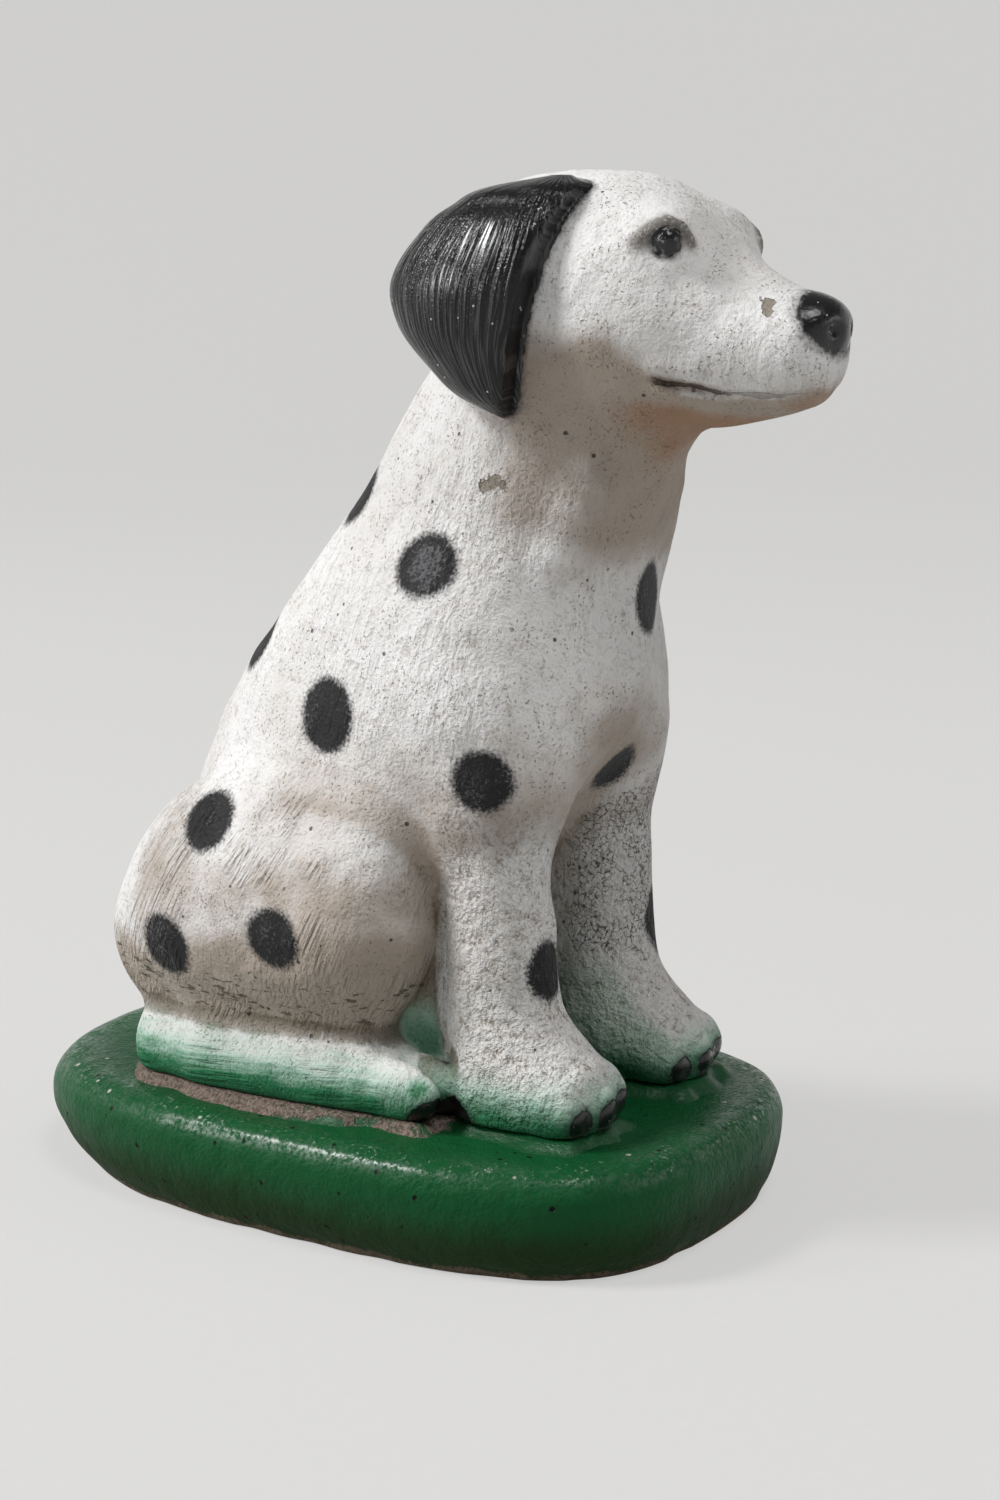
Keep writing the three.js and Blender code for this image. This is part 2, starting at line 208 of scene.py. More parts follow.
def lumps(points, size, seed):
    """Smooth uneven values from -1 to 1: random values on a lattice of points size millimetres apart,
    eased between the eight corners of the lattice cell that a point lies in."""
    lattice = np.random.default_rng(seed).uniform(-1, 1, (LATTICE, LATTICE, LATTICE))
    cell = np.floor(points / size).astype(int)
    ease = rise(points / size - cell, 0, 1)
    total = np.zeros(len(points))
    for corner in np.ndindex(2, 2, 2):
        share = np.prod(np.where(corner, ease, 1 - ease), axis=1)
        total += share * lattice[tuple(((cell + corner) % LATTICE).T)]
    return total


print("a fillet of 4 mm adds", -join(0, 0, 4), "mm where two forms meet")


# %% [markdown]
# ## The dog's forms
#
# The rings follow those of the CAD model. A row gives the station, then the middle and the half sizes on the
# other two axes. Pairs of forms are written once: the points are mirrored to the left side first.
# The moulds were a little out of square, so the whole dog is sheared by `SKEW`.

# %% The dog's rings
SOLE = 25.0
SKEW = 0.07

# Rings across Z: height, side, back, half width, half depth.
TORSO = [
    (20, 0, 14, 26, 37), (40, 0, 14, 28, 39), (60, 0, 10, 29.5, 42.5), (75, 0, 2, 32.5, 48),
    (90, 0, -6, 36.8, 51), (105, 0, -11.2, 36.6, 47.8), (120, 0, -16.6, 34.8, 41.8),
    (135, 0, -23.2, 31.5, 35.8), (150, 0, -31, 27.5, 33), (165, 0, -38, 25.5, 30.4), (180, 0, -45, 24, 26),
]
FORELEG = [
    (20, 21, -44, 12, 14), (36, 21, -42, 12, 14), (48, 21, -39, 11.8, 12.2), (60, 21, -38, 11.5, 11.5),
    (75, 21, -37, 11.7, 11.8), (90, 21.5, -35, 13.4, 14.4), (110, 22, -31, 15, 17), (126, 20, -28, 11, 13),
]
EAR = [
    (164.5, 27.5, -44.5, 1, 1.5), (168, 28, -42, 4.5, 7.5), (174, 28, -39.5, 7, 13), (182, 27.5, -38, 9, 19),
    (190, 26, -38.2, 10, 21.3), (198, 22.5, -40, 10.5, 19.5), (204, 19, -42, 10, 15.5),
    (208.5, 16, -46, 7, 9), (210, 15, -49, 2, 2),
]

# Rings across Y: back, side, height, half width, half height.
PAW = [
    (-64, 21.5, 28, 3, 3), (-62.5, 21.5, 29, 8.5, 6), (-58, 21.5, 30, 11.5, 9), (-51, 21.5, 31, 12.5, 11.5),
    (-43, 21, 32, 12.5, 13), (-34, 21, 31, 11, 10), (-30, 21, 30, 6, 6),
]
HIND_FOOT = [
    (-25, 30, 28, 3, 3), (-23.5, 30, 29, 8, 5.5), (-19, 30.5, 30, 10.5, 7.7), (-10, 31.5, 30.5, 11, 8.5),
    (10, 32.5, 30.3, 11.5, 8.2), (32, 32.5, 30, 11, 7.6), (43, 32, 29.8, 8.5, 7.2), (47, 31.5, 29, 4, 4),
]
HEAD = [
    (-102.7, 0, 177.5, 1.5, 1.5), (-101.5, 0, 177.4, 6.5, 5.5), (-99, 0, 177.3, 10.3, 8.9),
    (-94.5, 0, 177.5, 13, 11.4), (-90, 0, 177.8, 14.5, 13), (-84, 0, 178.5, 17, 15.3),
    (-78, 0, 180.5, 20, 18.4), (-73, 0, 183, 23, 21), (-65, 0, 185, 26, 24.3), (-52, 0, 185.8, 28, 25.5),
    (-40, 0, 186, 27.5, 24.5), (-30, 0, 187, 24, 21.5), (-23, 0, 188, 17, 16), (-19.5, 0, 188.5, 6, 6),
]
TAIL = [(0, 50, 34), (9, 57, 31), (20, 59, 30), (31, 54, 30)]
TAIL_RADII = (7, 6.5, 5.5, 4)
NECK_FOLD = [(12, -58, 163), (15, -55, 150), (17, -50, 137), (16, -46, 122)]
NECK_FOLD_RADII = (3, 4.6, 5, 3.5)

# The mouth's line, as height along back, and an upper eyelid.
MOUTH = [
    (-104, 171.6), (-100.4, 170.6), (-95, 169.4), (-91, 169.5), (-83, 170.2), (-72.5, 172.3), (-69, 172.8),
]
LID = [
    (21.5, -69.4, 196.5), (20.1, -71.7, 199.1), (17.6, -74.2, 200.9),
    (15.8, -76.5, 199.9), (14.7, -77.9, 197.2),
]
LID_RADIUS = 0.6
EYE_TILT = 0.05

# Ellipsoids: middle, half sizes and, where it has one, lean about X in degrees.
THIGH = ((28.5, 10.6, 54), (20.5, 45.3, 38.5), -25)
KNEE = ((33, -9, 60), (15, 15, 28), 15)
SHOULDER = ((23, -30, 106), (13.5, 21, 28), -8)
WEB = ((17, -20, 52), (10.5, 15, 40))
BROW = ((12.5, -71.5, 198.2), (6.5, 4.6, 4.4))
SOCKET = ((20.6, -76.2, 196.4), (3, 5, 3.2))
EYEBALL = ((17.9, -74.1, 196.9), (2.5, 2.6, 2.4))
NOSE = ((0, -98, 182), (8.6, 6.2, 6))
NOSTRIL = ((3.8, -104, 181.6), (1.6, 2.4, 1.3))

# Toes and claws: middle and half sizes of the middle one, and the share of the pitch between neighbours.
FRONT_TOE = ((21.5, -58.5, 29.5), (5, 7, 6.5), 1)
HIND_TOE = ((30.5, -24, 30), (4.7, 12, 6.8), 0.8)
FRONT_CLAW = ((21.5, -65, 27.5), (3.2, 3, 3.4), 1)
HIND_CLAW = ((30.5, -34.5, 26), (4.6, 6.3, 4.5), 0.8)
TOE_PITCHES = (-8, 0, 8)
TOE_SETBACK = 0.03

# Planes that cut a form: a point on the plane, and the way that it faces.
UNDER_CHEST = ((0, -56, 99), (0, 0.75, 0.66))
UNDER_HAUNCH = ((40, 0, 41), (0.64, -0.0539, -0.77))
HAUNCH_FRONT = ((40, -39, 60), (-0.56, -0.81, -0.2))
EAR_FRONT = ((0, -49.8, 187), (0, -0.97, -0.242))
CHEST_GAP_SIDE = 2
CHEST_GAP_HALF = 14
print("rings:", sum(len(rows) for rows in (TORSO, FORELEG, EAR, PAW, HIND_FOOT, HEAD)))


# %% [markdown]
# ## One field for the dog
#
# Body, head and ears have a function each, and `dog_forms` joins them. It returns the field and what the
# painter needs: the distances to ears, nose, eyes and claws, and how much fillet lies there, where dirt and
# painted shade are laid.

# %% The dog's body
def body_form(q, m):
    """The body's distance, how much fillet lies there, and the distances to some parts, for the points q
    and the same mirrored to the left, m. The fillet is the nearest part's distance less the body's."""
    hollow = keep(half_space(q, *UNDER_CHEST), np.abs(q[:, 0] - CHEST_GAP_SIDE) - CHEST_GAP_HALF, 8)
    torso = keep(ring_stack(q, 2, TORSO), -hollow, 10)
    haunch = join(ellipsoid(m, *THIGH), ellipsoid(m, *KNEE), 8)
    haunch = keep(haunch, half_space(m, *UNDER_HAUNCH), 17)
    haunch = keep(haunch, half_space(m, *HAUNCH_FRONT), 20)
    foreleg = ring_stack(m, 2, FORELEG)
    paw = ring_stack(m, 1, PAW)
    hind_foot = ring_stack(m, 1, HIND_FOOT, 2.4)
    tail = bent_rod(q, TAIL, TAIL_RADII)
    web = ellipsoid(m, *WEB)
    trunk = join(torso, ellipsoid(m, *SHOULDER), 14)
    trunk = join(trunk, web, 8)
    trunk = join(trunk, join(foreleg, paw, 5), 5)
    rump = join(haunch, hind_foot, 7)
    tight = rise(q[:, 1], 4, -20) * rise(q[:, 2], 84, 60)
    behind = rise(q[:, 1], 5, 30)
    body = join(trunk, rump, 9 - 6.5 * tight - 5 * behind)
    body = join(body, tail, 4)
    crease = np.minimum.reduce([trunk, rump, tail]) - body
    crease += (np.minimum(haunch, hind_foot) - rump) * rise(rump, 2, 0.5)
    parts = {"haunch": haunch, "web": web, "foreleg": np.minimum(foreleg, paw), "hind_foot": hind_foot}
    return body, crease, parts


def toe(m, form, pitch):
    """One toe or claw: an ellipsoid moved sideways by its pitch, and back by a share of the pitch squared."""
    (x, y, z), halves, spread = form
    return ellipsoid(m, (x + spread * pitch, y + TOE_SETBACK * pitch**2, z), halves)


def with_toes(body, m):
    """The body with three toes joined to each foot, and the distance to the nearest claw."""
    claws = np.full(len(m), np.inf)
    for pitch in TOE_PITCHES:
        body = join(body, toe(m, FRONT_TOE, pitch), 1.5)
        body = join(body, toe(m, HIND_TOE, pitch), 1)
        claws = np.minimum.reduce([claws, toe(m, FRONT_CLAW, pitch), toe(m, HIND_CLAW, pitch)])
    return body, claws


# %% The dog's head
def head_form(q, m):
    """The head's distance and those to its nose, eyes and lids. The eyes' line is tilted a little."""
    tilted = m.copy()
    tilted[:, 2] += EYE_TILT * q[:, 0]
    eye = ellipsoid(tilted, *EYEBALL)
    lid = bent_rod(tilted, LID, LID_RADIUS)
    nose = ellipsoid(q, *NOSE)
    head = join(ring_stack(q, 1, HEAD), ellipsoid(m, *BROW), 8)
    head = keep(head, -ellipsoid(tilted, *SOCKET), 2)
    head = join(head, lid, 1.6)
    head = join(head, eye, 0.5)
    head = join(head, nose, 3)
    head = keep(head, -ellipsoid(m, *NOSTRIL), 1)
    return head, {"nose": nose, "eye": eye, "lid": lid}


def mouth_form(q):
    """How far the mouth sinks the head's skin, the height above the lip line, and how near the mouth is.
    A groove follows the line, with a ridge above its corner and one below it; each is a bell across it."""
    above = q[:, 2] - curve(q[:, 1], *np.transpose(MOUTH))
    near = within(q[:, 1], -103, -97, -74, -70.5) * rise(np.abs(above), 9, 5)
    corner = rise(q[:, 1], -88, -78)
    sunk = (0.35 + 0.85 * corner) * bell(above, 0, 0.5 + 0.5 * corner)
    sunk -= 0.55 * corner * bell(above, 2.6, 1.5)
    sunk -= (0.2 + 0.6 * corner) * bell(above, -2.1, 1.2)
    return near * sunk, above, near * (0.45 + 0.55 * corner)


def ear_form(m):
    """The ear's distance, cut off along its front edge, and the place across the ear from -1 to 1."""
    stations, middles, depths = np.asarray(EAR, float)[:, [0, 2, 4]].T
    across = (m[:, 1] - curve(m[:, 2], stations, middles)) / curve(m[:, 2], stations, depths)
    return keep(ring_stack(m, 2, EAR), half_space(m, *EAR_FRONT), 1.6), across


# %% The dog's field
def dog_forms(points):
    """The dog's distance and named distances. Body, neck folds, head and ears are joined in turn. Hand-made
    lumps shift the distance a little, less on the head, and the soles are cut level."""
    q = points.copy()
    q[:, 1] -= SKEW * q[:, 0]
    m = q.copy()
    m[:, 0] = np.abs(m[:, 0])
    body, crease, zones = body_form(q, m)
    body, zones["claws"] = with_toes(body, m)
    head, features = head_form(q, m)
    sunk, above_mouth, near_mouth = mouth_form(q)
    ear, across_ear = ear_form(m)
    zones.update(features, ear=ear)

    dog = join(body, bent_rod(m, NECK_FOLD, NECK_FOLD_RADII), 5)
    dog = join(dog, head + sunk, 10)
    crease += rise(np.abs(dog - ear), 3, 0) * rise(np.maximum(dog, ear), 2.5, 0.5)
    dog = join(dog, ear, 1)
    lump = 0.7 * lumps(points, 19, 1) + 0.35 * lumps(points, 7, 2)
    lump *= 1 - 0.6 * rise(q[:, 2], 150, 170)
    dog = keep(dog - lump, SOLE - points[:, 2], 0.5)
    zones = {name: distance - lump for name, distance in zones.items()}
    zones.update(crease=crease, above_mouth=above_mouth, near_mouth=near_mouth, across_ear=across_ear)
    return dog, zones


def dog_field(points):
    """The dog's blended distance alone."""
    return dog_forms(points)[0]


print("10 mm above the head, the field is", dog_field(np.array([[0.0, -50, 221]])).round(1))


# %% [markdown]
# ## From field to skin
#
# The skin is the field's zero level. Space is cut into small cells; a cell that the skin crosses gets one
# vertex, the mean of the crossings on its edges, and each crossed grid edge gets one quad between the four
# cells round it. Only cells near the skin are worked out, found first on a grid four times as coarse.
# Then each vertex slides along the field's slope to where the field is zero.

# %% Field on a grid
BLOCK = 4


def slope(field, points, reach=0.2):
    """The field's gradient at each point, from differences over a short reach each way."""
    steps = np.eye(3) * reach
    return np.stack([field(points + s) - field(points - s) for s in steps], 1) / (2 * reach)


def grid_values(field, low, high, step):
    """The field on a grid, exact near its zero level and only coarse away from it."""
    counts = np.ceil((np.asarray(high) - low) / (BLOCK * step)).astype(int)
    middles = low + (np.argwhere(np.ones(counts)) + 0.5) * BLOCK * step
    coarse = field(middles).reshape(counts)
    values = coarse.repeat(BLOCK, 0).repeat(BLOCK, 1).repeat(BLOCK, 2)
    near = np.argwhere(np.abs(values) < 1.3 * BLOCK * step)
    values[tuple(near.T)] = field(low + near * step)
    return values


# %% Zero level
def zero_level(field, low, high, step):
    """Vertices and quads of the field's zero level, one vertex in each crossed cell."""
    low = np.asarray(low, float)
    values = grid_values(field, low, high, step)
    inside = values < 0
    corners = np.argwhere(np.ones((2, 2, 2)))
    ahead = np.eye(3, dtype=int)
    size = np.array(values.shape) - 1
    count = sum(inside[i:i + size[0], j:j + size[1], k:k + size[2]].astype(int) for i, j, k in corners)
    cells = np.argwhere((count > 0) & (count < 8))
    number = np.full(size, -1)
    number[tuple(cells.T)] = np.arange(len(cells))

    total = np.zeros((len(cells), 3))
    crossings = np.zeros(len(cells))
    for start in corners:
        for axis in range(3):
            if start[axis]:
                continue
            end = start + ahead[axis]
            v0 = values[tuple((cells + start).T)]
            v1 = values[tuple((cells + end).T)]
            crossed = (v0 < 0) != (v1 < 0)
            share = np.where(crossed, v0 / np.where(crossed, v0 - v1, 1), 0)
            total += crossed[:, None] * (start + share[:, None] * (end - start))
            crossings += crossed
    vertices = low + (cells + total / crossings[:, None]) * step

    quads = []
    for axis in range(3):
        b = (axis + 1) % 3
        c = (axis + 2) % 3
        first = tuple(slice(0, -1) if a == axis else slice(1, -1) for a in range(3))
        second = tuple(slice(1, None) if a == axis else slice(1, -1) for a in range(3))
        edges = np.argwhere(inside[first] != inside[second])
        edges[:, [b, c]] += 1
        around = [edges - ahead[b] - ahead[c], edges - ahead[c], edges, edges - ahead[b]]
        quad = np.stack([number[tuple(cell.T)] for cell in around], 1)
        outward = inside[tuple(edges.T)]
        quads.append(np.where(outward[:, None], quad, quad[:, ::-1]))
    return vertices, np.concatenate(quads)


# %% Dog skin
LONGEST_SLIDE = 0.6
DOG_LOW = (-62, -110, 22)
DOG_HIGH = (62, 76, 216)


def settle(field, vertices, rounds=2):
    """Slides each vertex down the field's slope to its zero level, by at most LONGEST_SLIDE a round."""
    for _ in range(rounds):
        gradient = slope(field, vertices)
        length = np.linalg.norm(gradient, axis=1)
        move = np.clip(field(vertices) / np.maximum(length, 0.3), -LONGEST_SLIDE, LONGEST_SLIDE)
        vertices = vertices - gradient / np.maximum(length, 0.3)[:, None] * move[:, None]
    return vertices


def make_mesh(name, vertices, faces, attributes):
    """A mesh object in metres from millimetre vertices, faces and one value per vertex for each attribute."""
    mesh = bpy.data.meshes.new(name)
    mesh.from_pydata((vertices * MM).tolist(), [], faces.tolist())
    for key, values in attributes.items():
        layer = mesh.attributes.new(key, "FLOAT", "POINT")
        layer.data.foreach_set("value", np.asarray(values, np.float32))
    mesh.shade_smooth()
    mesh.update()
    made = bpy.data.objects.new(name, mesh)
    scene.collection.objects.link(made)
    return made


skin_step = 1.15
skin, skin_faces = zero_level(dog_field, DOG_LOW, DOG_HIGH, skin_step)
skin = settle(dog_field, skin)
print("dog skin:", len(skin), "vertices,", 2 * len(skin_faces), "triangles")
print("dog box in mm:", skin.min(0).round(1), skin.max(0).round(1))

# %% [markdown]
# ## Where the paint goes
#
# The spots were sprayed through a hole, so each is round on the surface: the points within one distance of
# its middle. The near ones are placed by their pixel in the photograph: a ray from the camera is followed
# until it meets the skin, or to its nearest approach where it grazes the outline. The far side is a guess.

# %% Spots and chips
# Pixels and radii in millimetres; the far spots have points instead of pixels.
NEAR_SPOTS = [
    (425, 565, 6.8), (327, 715, 7.7), (208, 820, 6.8), (165, 945, 6.8), (272, 940, 6.5), (482, 783, 6.3),
    (549, 970, 6.0), (649, 597, 7.4), (613, 767, 6.0), (660, 915, 7.6), (362, 496, 6.6), (264, 640, 6.6),
]
FAR_SPOTS = [
    (33, 20, 104, 6.5), (30, 44, 66, 6.2), (47, 12, 66, 6.3), (44, -12, 44, 6), (31, -22, 124, 6.4),
    (27, -12, 148, 6), (36, -34, 98, 5.8), (48, 2, 88, 5.6), (2, 53, 58, 6.2), (12, 8, 140, 6),
]
CHIPS = [(768, 303, 1.4), (767, 311, 1.2), (484, 486, 1.2), (494, 482, 1.6), (502, 487, 0.9)]
# These toe marks paint dirt and the shade between the hind toes and the foreleg.
SOILED_AND_SHADED_TOES = [(442, 1070, 5.5), (436, 1040, 2.5)]
GREEN_TOES = [(418, 1092, 3.2)]
FIRST_REACH = 450.0
RAY_STEPS = 160


def cast(pixels):
    """The point where the ray through each pixel meets the dog, or where it passes nearest to it."""
    pixels = np.asarray(pixels, float)
    x = (pixels[:, 0] - PHOTO[0] / 2) / FOCAL_PIXELS
    y = (PHOTO[1] / 2 - pixels[:, 1]) / FOCAL_PIXELS
    rays = x[:, None] * right + y[:, None] * up - back
    rays /= np.linalg.norm(rays, axis=1)[:, None]
    reach = np.full(len(rays), FIRST_REACH)
    best = np.full(len(rays), np.inf)
    found = reach.copy()
    for _ in range(RAY_STEPS):
        away = dog_field(EYE + rays * reach[:, None])
        nearer = away < best
        found = np.where(nearer & (best > 0.05), reach, found)
        best = np.where(nearer, away, best)
        reach = reach + np.clip(away * 0.6, 0.05, 8)
    return EYE + rays * found[:, None]


def placed(marks):
    """Marks given as a pixel and a radius in millimetres, as points on the dog with that radius."""
    marks = np.asarray(marks, float)
    return np.column_stack([cast(marks), marks[:, 2]])


def from_spots(spots):
    """The distance from the skin to the rim of the nearest spot: less than 0 inside one."""
    return np.minimum.reduce([np.linalg.norm(skin - spot[:3], axis=1) - spot[3] for spot in spots])


near_spots = placed(NEAR_SPOTS)
far_spots = np.asarray(FAR_SPOTS, float)
nearest = [np.linalg.norm(skin - spot[:3], axis=1).argmin() for spot in far_spots]
far_spots[:, :3] = skin[nearest]
spot_rim = from_spots(np.concatenate([near_spots, far_spots]))
print("near spots in mm:", near_spots[:, :3].round().tolist())

# %% Paint zones
EAR_HALF_DEPTH = 21
zones = dog_forms(skin)[1]
normals = slope(dog_field, skin)
normals /= np.linalg.norm(normals, axis=1)[:, None]
x, y, z = skin.T
height = z - SOLE
above_mouth = zones["above_mouth"]

# Glossy black parts, and the regions whose paint differs.
gloss_rim = np.minimum.reduce([zones["ear"] - 0.7, zones["nose"] - 0.8, zones["eye"] - 0.2, zones["claws"]])
on_haunch = rise(zones["haunch"], 3, 0)
on_foreleg = rise(zones["foreleg"], 3, 0.5) * rise(height, 92, 60)
in_flank = rise(zones["web"], 3, 0.5) * rise(zones["foreleg"], 0.3, 2.5)

# Green all round the soles, higher between the legs and in the flank, and on one toe.
between_legs = rise(np.abs(x), 16, 10) * rise(y, -14, -22)
green = np.maximum.reduce([
    1.05 * rise(height, 16, -1),
    0.6 * between_legs * rise(height, 40, 2),
    0.8 * in_flank * rise(height, 26, 14),
    0.9 * rise(from_spots(placed(GREEN_TOES)), 2.5, -2.5),
])

# Stain where rain doesn't reach, and painted shade: darker on faces that look down, on the haunch and
# in the valley before it, and a painted shadow of the jaw on the neck.
valley = rise(zones["crease"], 0.2, 0.9) * rise(height, 30, 40) * rise(y, 8, -8)
# Painted shadow of the jaw, with some stain, on the neck below it.
throat = within(height, 104, 128, 146, 158) * within(y, -84, -70, -48, -34)
off_muzzle = 1 - rise(y, -66, -74) * rise(above_mouth, -1, 1)
stain_and_shade = rise(-normals[:, 2], -0.25, 0.8) * off_muzzle + 0.35 * valley + 0.7 * throat
stain_and_shade += 0.35 * on_haunch * within(height, 8, 20, 44, 56) * rise(y, 46, 30)
stain_and_shade += 0.30 * on_haunch * within(height, 36, 46, 60, 70) * rise(y, 44, 28)
stain_and_shade += 0.25 * on_haunch * rise(height, 34, 18)

# Rust and painted shade under the lip; dirt and painted shade in creases, in the flank and on the hind toes;
# dirt on the low haunch; and crazing on one foreleg.
# Rust under the lip, also darkened and warmed as painted shade and painted warm bounce light under the jaw.
under_lip = rise(above_mouth, -2.5, -7) * rise(y, -60, -76)
muzzle_tip = rise(above_mouth, 5, -1) * rise(y, -90, -97)
chin_rust_and_shade = np.maximum(under_lip, 0.5 * muzzle_tip) * rise(height, 118, 128)
# Dirt and painted shade in the creases, the flank's recess and on the hind toes; dirt on the low haunch.
grime_and_shade = 0.8 * rise(zones["crease"], 0.1, 0.9) * rise(height, 58, 40) + 1.1 * in_flank
grime_and_shade += 0.35 * on_haunch * rise(height, 34, 14)
grime_and_shade += 1.2 * rise(from_spots(placed(SOILED_AND_SHADED_TOES)), 1, -2)
crazed = rise(zones["foreleg"], 4, 1) * within(x, 4, 9, 24, 30)
crazed *= rise(y, -32, -40) * within(height, 18, 30, 68, 78)

dog_skin = make_mesh("dog_skin", skin, skin_faces, {
    "spot": spot_rim,
    "rubbed": rise(np.linalg.norm(skin - near_spots[0, :3], axis=1), 6, 2),
    "gloss": gloss_rim,
    "chip": from_spots(placed(CHIPS)),
    "lid": bell(np.maximum(zones["lid"], 0), 0, 1.1),
    "green": green,
    "stucco": on_foreleg,
    "stain_and_shade": np.clip(stain_and_shade, 0, 1),
    "grime_and_shade": np.clip(grime_and_shade, 0, 1.5),
    "fleck": on_haunch * within(height, 8, 14, 24, 34),
    "haunch": on_haunch,
    "foot": rise(zones["hind_foot"], 2, 0.3),
    "ear": rise(zones["ear"], 1.5, 0.5),
    "across_ear": EAR_HALF_DEPTH * zones["across_ear"],
    "above_mouth": above_mouth,
    "near_mouth": zones["near_mouth"],
    "head": rise(z, 150, 172),
    "rust": chin_rust_and_shade,
    "crazed": crazed,
})
print("stained share of the skin:", (stain_and_shade > 0.5).mean().round(2))

# %% [markdown]
# ## Plinth
#
# The real plinth is a slab cast in its own mould. A rounded cube would do, but its sides lean and its plan is
# squarer in front, so it is a surface of two parameters: the angle round it, and the place along its profile
# from the middle of the underside, round the edge, to the middle of the top. Each level is a superellipse.

# %% Plinth skin
PLINTH_LENGTH = 164
PLINTH_WIDTH = 112
FRONT_SQUARENESS = 3.3
REAR_SQUARENESS = 2.6

# Along the profile: height, inset at the sides, in front and behind.
PROFILE = [
    (0, 5.5, 5, 13), (0.3, 4.2, 3.7, 11.7), (1.5, 3.4, 2.9, 10), (5, 1.8, 1.6, 5), (8, 1, 0.9, 2.6),
    (11, 0.4, 0.4, 0.6), (14, 0.1, 0.1, 0.2), (16.5, 0, 0, 0.6), (18.5, 0.3, 0.3, 1.6), (20.2, 1, 1, 3),
    (21.5, 2, 2, 4.6), (22.4, 3.4, 3.4, 6.4), (22.9, 5, 5, 8.2), (23, 7, 7, 10.5),
]


def plinth_surface(angles, places):
    """Points for each place along the profile and each angle. A level's half sizes a and b are the plinth's
    less the insets there, and its rim is x = a |cos|^(2/n), y = b |sin|^(2/n), with n for front or rear.
    Places below 0 and above 1 shrink the lowest and the highest level towards the middle."""
    profile = np.asarray(PROFILE, float)
    knots = np.linspace(0, 1, len(profile))
    along = np.clip(places, 0, 1)
    level, side, front, rear = (curve(along, knots, profile[:, c])[:, None] for c in range(4))
    shrink = (1 - np.clip(np.maximum(-places, places - 1), 0, 1))[:, None]
    cos = np.cos(angles)[None]
    sin = np.sin(angles)[None]
    behind = sin > 0
    power = 2 / np.where(behind, REAR_SQUARENESS, FRONT_SQUARENESS)
    half_width = PLINTH_WIDTH / 2 - side
    half_length = PLINTH_LENGTH / 2 - np.where(behind, rear, front)
    x = shrink * half_width * np.sign(cos) * np.abs(cos) ** power
    y = shrink * half_length * np.sign(sin) * np.abs(sin) ** power + SKEW * x
    z = level + 0 * x
    return np.stack([x, y, z], -1)


def band_faces(rows, columns):
    """Quads between rows of points, each row a closed loop."""
    row, column = np.meshgrid(np.arange(rows - 1), np.arange(columns), indexing="ij")
    here = row * columns + column
    beside = row * columns + (column + 1) % columns
    return np.stack([here, beside, beside + columns, here + columns], -1).reshape(-1, 4)


around = 640
even = np.linspace(0, 2 * math.pi, around, endpoint=False)
angles = even - 0.12 * np.sin(4 * even)
places = np.concatenate([np.linspace(-0.99, -0.1, 8), np.linspace(0, 1, 64), np.linspace(1.03, 1.99, 36)])
slab = plinth_surface(angles, places).reshape(-1, 3)
outward = slab * (1 / (PLINTH_WIDTH / 2) ** 2, 1 / (PLINTH_LENGTH / 2) ** 2, 0)
outward /= np.maximum(np.linalg.norm(outward, axis=1), 1e-6)[:, None]
place_of = np.repeat(places, around)
level = slab[:, 2]
on_side = rise(place_of, -0.05, 0.12) * rise(place_of, 1.15, 0.9)
wobble = 0.5 * lumps(slab, 40, 3) + 0.25 * lumps(slab, 11, 4)
edge_chips = np.maximum(lumps(slab, 14, 5) - 0.5, 0) * rise(level, 15, 21)
foot_wear = np.maximum(lumps(slab, 8, 6), 0) * rise(level, 4, 1)
slab += outward * (on_side * (wobble - 0.9 * edge_chips - 1.2 * foot_wear))[:, None]
slab[:, 2] -= rise(place_of, 0.75, 0.95) * (0.3 + 0.3 * lumps(slab, 22, 7)).clip(0, 0.8)
plinth_skin = make_mesh("plinth_skin", slab, band_faces(len(places), around), {
    "edge": rise(level, 17, 21.5) * rise(place_of, 1.12, 0.95),
    "low": rise(level, 19, 2),
    "foot": rise(level, 7, 0),
})
print("plinth skin:", len(slab), "vertices")
print("plinth box in mm:", slab.min(0).round(1), slab.max(0).round(1))

# %% [markdown]
# ## Mortar
#
# The mortar is a sheet of height over the plan: thick where the dog's soles press on it, and thinning to
# nothing a few millimetres outside them, along an uneven edge. The dog's own field, read just above the
# soles, gives the distance to the nearest sole. The painter left it bare along the right hind foot.

# %% Mortar skin
PLINTH_TOP = PROFILE[-1][0]
BED_REACH = 2.2
BED_SLOPE = 3.2
BED_SUNK = 0.5
BED_OVER = 0.3

plan_step = 1
plan_x, plan_y = np.meshgrid(
    np.arange(-56, 56.5, plan_step), np.arange(-78, 74.5, plan_step), indexing="ij",
)
plan = np.stack([plan_x, plan_y, np.full_like(plan_x, SOLE + 2.5)], -1).reshape(-1, 3)
to_sole = dog_field(plan)
edge = BED_REACH + 1.6 * lumps(plan, 14, 8) + 1.2 * lumps(plan, 4, 9)
thick = rise(to_sole, edge, edge - BED_SLOPE)
bed = plan.copy()
bed[:, 2] = PLINTH_TOP - BED_SUNK + (SOLE - PLINTH_TOP + BED_OVER) * thick
bed[:, 2] += 0.12 * lumps(plan, 3, 10) * thick
rows, columns = plan_x.shape
corner = (np.arange(rows - 1)[:, None] * columns + np.arange(columns - 1)[None]).reshape(-1)
bed_faces = np.stack([corner, corner + columns, corner + columns + 1, corner + 1], 1)
bed_faces = bed_faces[(thick[bed_faces] > 0.02).any(1)]
used, bed_faces = np.unique(bed_faces, return_inverse=True)
bed_faces = bed_faces.reshape(-1, 4)
bed = bed[used]
beside_foot = rise(bed[:, 0], -26, -33) * within(bed[:, 1], -40, -34, 40, 52)
